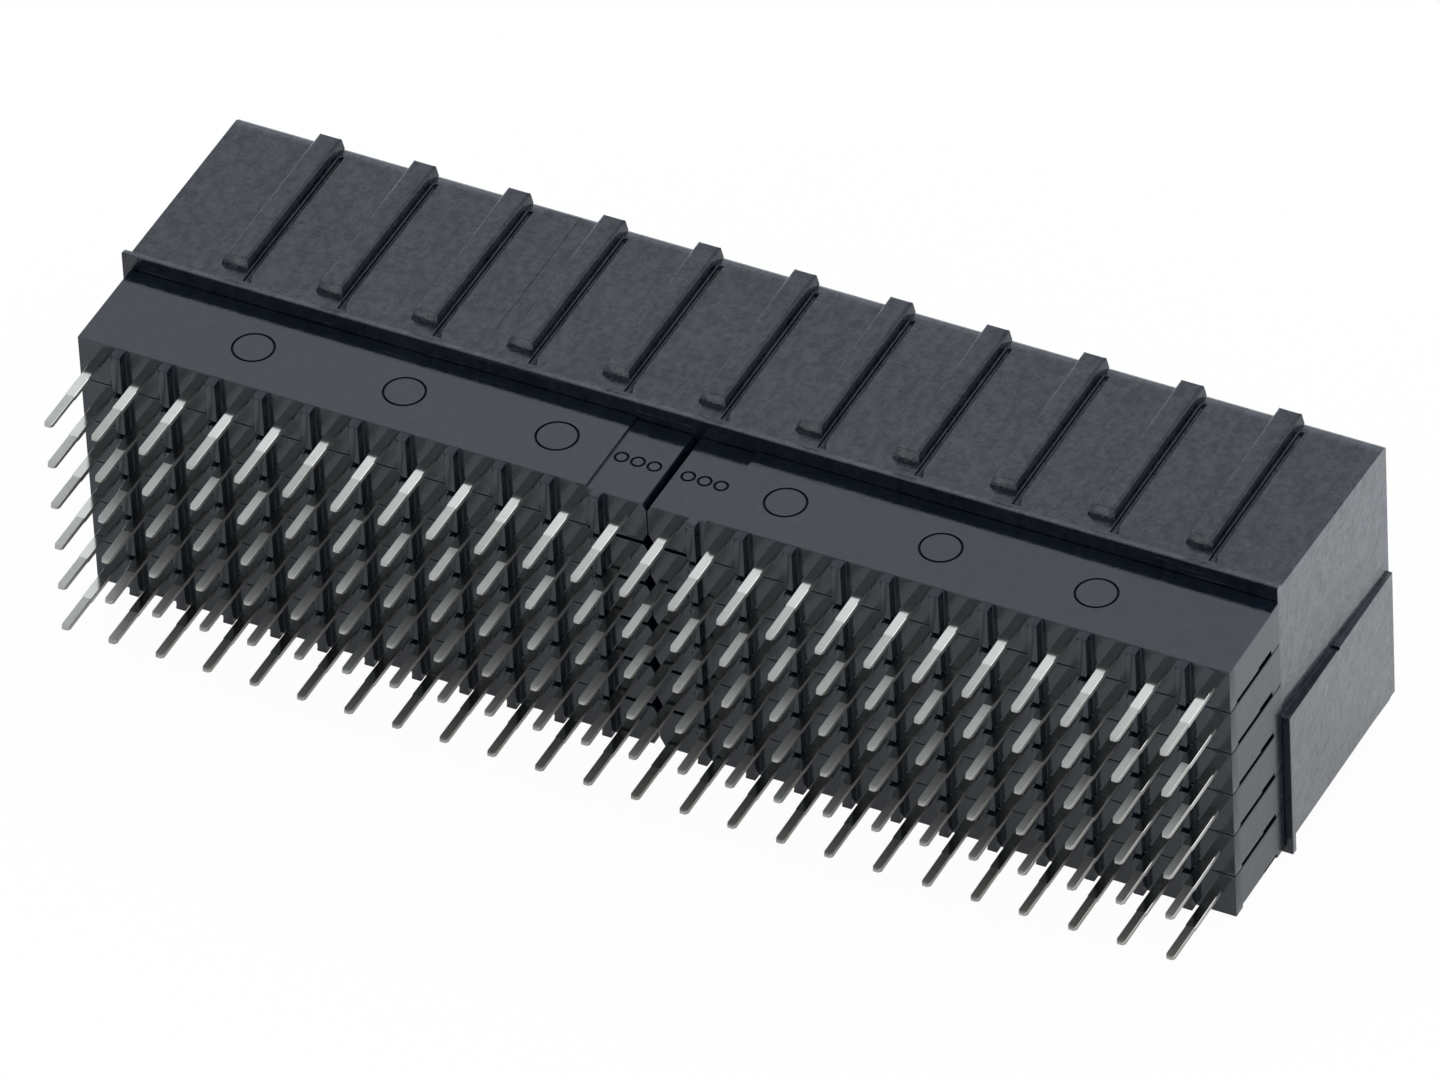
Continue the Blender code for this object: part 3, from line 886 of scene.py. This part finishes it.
# %% Ribs
def model_rib():
    """The middle rib of the top face, ramped at its near end."""
    half_foot = RIB_WIDTH / 2 + RIB_FOOT_SPREAD * (RIB_HEIGHT + SUNK) / RIB_HEIGHT
    ramp_start = STEP_Y + RIB_START
    low = (RIB_SHIFT - half_foot, ramp_start, BLOCK_TOP_Z - SUNK)
    rib = box_piece("rib", low, (RIB_SHIFT + half_foot, MATING_Y - 0.01 * MM, housing_high.z))
    edit(rib)
    select_faces(rib, lambda centre, normal: normal.z > FACING)
    bpy.ops.transform.resize(value=(RIB_WIDTH / 2 / half_foot, 1, 1), center_override=(RIB_SHIFT, 0, 0))
    lengthwise = lambda a, b: abs(a.x - b.x) < SUNK and abs(a.y - b.y) > SUNK
    select_edges(rib, lambda a, b: lengthwise(a, b) and min(a.z, b.z) > BLOCK_TOP_Z)
    bpy.ops.mesh.bevel(offset=RIB_CORNER, segments=3, affect="EDGES")
    slice_off((0, ramp_start, BLOCK_TOP_Z), (0, -RIB_HEIGHT, RIB_RAMP))
    far_top = (MATING_Y - SUNK, housing_high.z - SUNK / 2)
    select_edges(rib, lambda a, b: min(a.y, b.y) > far_top[0] and min(a.z, b.z) > far_top[1])
    bpy.ops.mesh.bevel(offset=RIB_END_ROUNDING, segments=3, affect="EDGES")
    leave()
    round_edges(rib, HOUSING_EDGE)
    return rib


def eleven_pairs(piece, name):
    """The piece of the middle rib copied to every rib, on the top and turned over for the underside."""
    middle_z = (BLOCK_TOP_Z + BLOCK_BOTTOM_Z) / 2
    about = Matrix.Translation((0, 0, middle_z))
    turned_over = about @ Matrix.Scale(-1, 4, (0, 0, 1)) @ about.inverted()
    copies = []
    for number in RIB_NUMBERS:
        place = Matrix.Translation((number * RIB_STEP * PITCH, 0, 0))
        copies.append(copy_of(piece, name, place))
        copies.append(copy_of(piece, name, place @ turned_over))
    bpy.data.objects.remove(piece)
    return join(copies, name)


def fine_marks():
    """The cutters of the mould line on the top and of the nick in the end pad's upper edge."""
    line_low = (MOULD_LINE_X - LINE_WIDTH / 2, MOULD_LINE_Y[0], BLOCK_TOP_Z - LINE_DEPTH)
    line_high = (MOULD_LINE_X + LINE_WIDTH / 2, MOULD_LINE_Y[1], BLOCK_TOP_Z + LINE_DEPTH)
    line = box_piece("line", line_low, line_high)
    nick_low = (RIGHT_X + NICK_DEPTH, NICK_Y, END_PAD_TOP_Z - NICK_DEPTH)
    nick_high = (RIGHT_X + 2 * END_PAD_REACH, NICK_Y + NICK_WIDTH, END_PAD_TOP_Z + SUNK)
    nick = box_piece("nick", nick_low, nick_high)
    return join([line, nick], "fine_marks")


# %% Finish the housing
housing = shape_housing_block()
sink_grooves(housing)
open_cavities(housing)
round_edges(housing, HOUSING_EDGE)
use_up(housing, eleven_pairs(model_rib(), "ribs"), "UNION")
use_up(housing, fine_marks(), "DIFFERENCE")
finish_shading(housing)
housing.name = "ribbed_housing"
housing.data.materials.clear()
housing.data.materials.append(housing_plastic)
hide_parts("housing")
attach(housing, "root")
print("housing:", len(housing.data.polygons), "faces,", in_mm(housing.dimensions), "mm")

# %% [markdown]
# ## Floor and light
#
# The photograph is a product shot: an even white room, no hard shadow, and a white background. A nearly
# white, slightly cool world lights everything softly and is what the plastic and the tin reflect. Three
# large soft lamps, behind, to the right and in front, lift the top, the right-hand end and the near ends of
# the ribs a little. The floor takes the object's shadow, and for the camera and for reflections it is mixed
# with plain white.

# %% Floor
FLOOR_SIZE = 4.0
FLOOR_COLOUR = (0.86, 0.86, 0.86, 1)
FLOOR_PALER_COLOUR = (0.88, 0.88, 0.88, 1)
WHITE_FOR_CAMERA = 0.96
WHITE_FOR_REFLECTIONS = 0.4


def white_floor():
    finish = Finish("white_table")
    tree = finish.tree
    path = finish.add_node("ShaderNodeLightPath", {}, {}, "Is Camera Ray")
    glossy = Signal(tree, path.socket.node.outputs["Is Glossy Ray"])
    through = Signal(tree, path.socket.node.outputs["Is Transmission Ray"])
    seen = path * WHITE_FOR_CAMERA + (glossy + through) * WHITE_FOR_REFLECTIONS
    paper = finish.noise(0.05, 2.0).blend(FLOOR_COLOUR, FLOOR_PALER_COLOUR)
    finish.set(Base_Color=paper, Roughness=0.9)
    white = finish.add_node("ShaderNodeEmission", {}, {"Color": (1, 1, 1, 1), "Strength": 1.0})
    shader = Signal(tree, finish.shader.outputs["BSDF"])
    mixed = finish.add_node("ShaderNodeMixShader", {}, {0: seen, 1: shader, 2: white})
    output = tree.nodes["Material Output"]
    tree.links.new(mixed.socket, output.inputs["Surface"])
    return finish.material


bpy.ops.object.select_all(action="DESELECT")
bpy.ops.mesh.primitive_plane_add(size=FLOOR_SIZE, location=(0, 0, 0))
floor = bpy.context.object
floor.name = "floor"
floor.data.materials.append(white_floor())
floor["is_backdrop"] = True
print(f"floor: {floor.dimensions.x:.0f} m square")

# %% World and lamps
WORLD_COLOUR = (0.90, 0.98, 1.08, 1)
WORLD_STRENGTH = 1.0
LAMP_WIDTH = 0.8
world = bpy.data.worlds.new("white_room")
world.use_nodes = True
background = world.node_tree.nodes["Background"]
background.inputs["Color"].default_value = WORLD_COLOUR
background.inputs["Strength"].default_value = WORLD_STRENGTH
bpy.context.scene.world = world


def soft_lamp(name, place, radiance, width=LAMP_WIDTH):
    """A square lamp aimed at the origin, whose face shines as brightly as radiance, whatever its size."""
    data = bpy.data.lights.new(name, "AREA")
    data.size = width
    data.energy = radiance * math.pi * width * width
    lamp = bpy.data.objects.new(name, data)
    turn = (-Vector(place)).to_track_quat("-Z", "Y").to_matrix().to_4x4()
    lamp.matrix_world = Matrix.Translation(place) @ turn
    bpy.context.scene.collection.objects.link(lamp)


soft_lamp("lamp_right", (0.9, 0.2, 0.5), radiance=1.2)
soft_lamp("lamp_behind", (-0.3, 0.9, 0.9), radiance=0.25)
soft_lamp("lamp_front", (-0.43, -1.1, 0.32), radiance=1.1, width=0.6)

bpy.context.scene.view_settings.view_transform = "Standard"

# %% [markdown]
# ## Sizes and the end
#
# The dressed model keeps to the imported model's box. Both boxes are written down, so that they can be
# compared.

# %% Write the sizes and finish
sizes = {"cad": [list(corner) for corner in cad_bounds], "visual": [list(corner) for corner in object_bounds()]}
print(sizes)
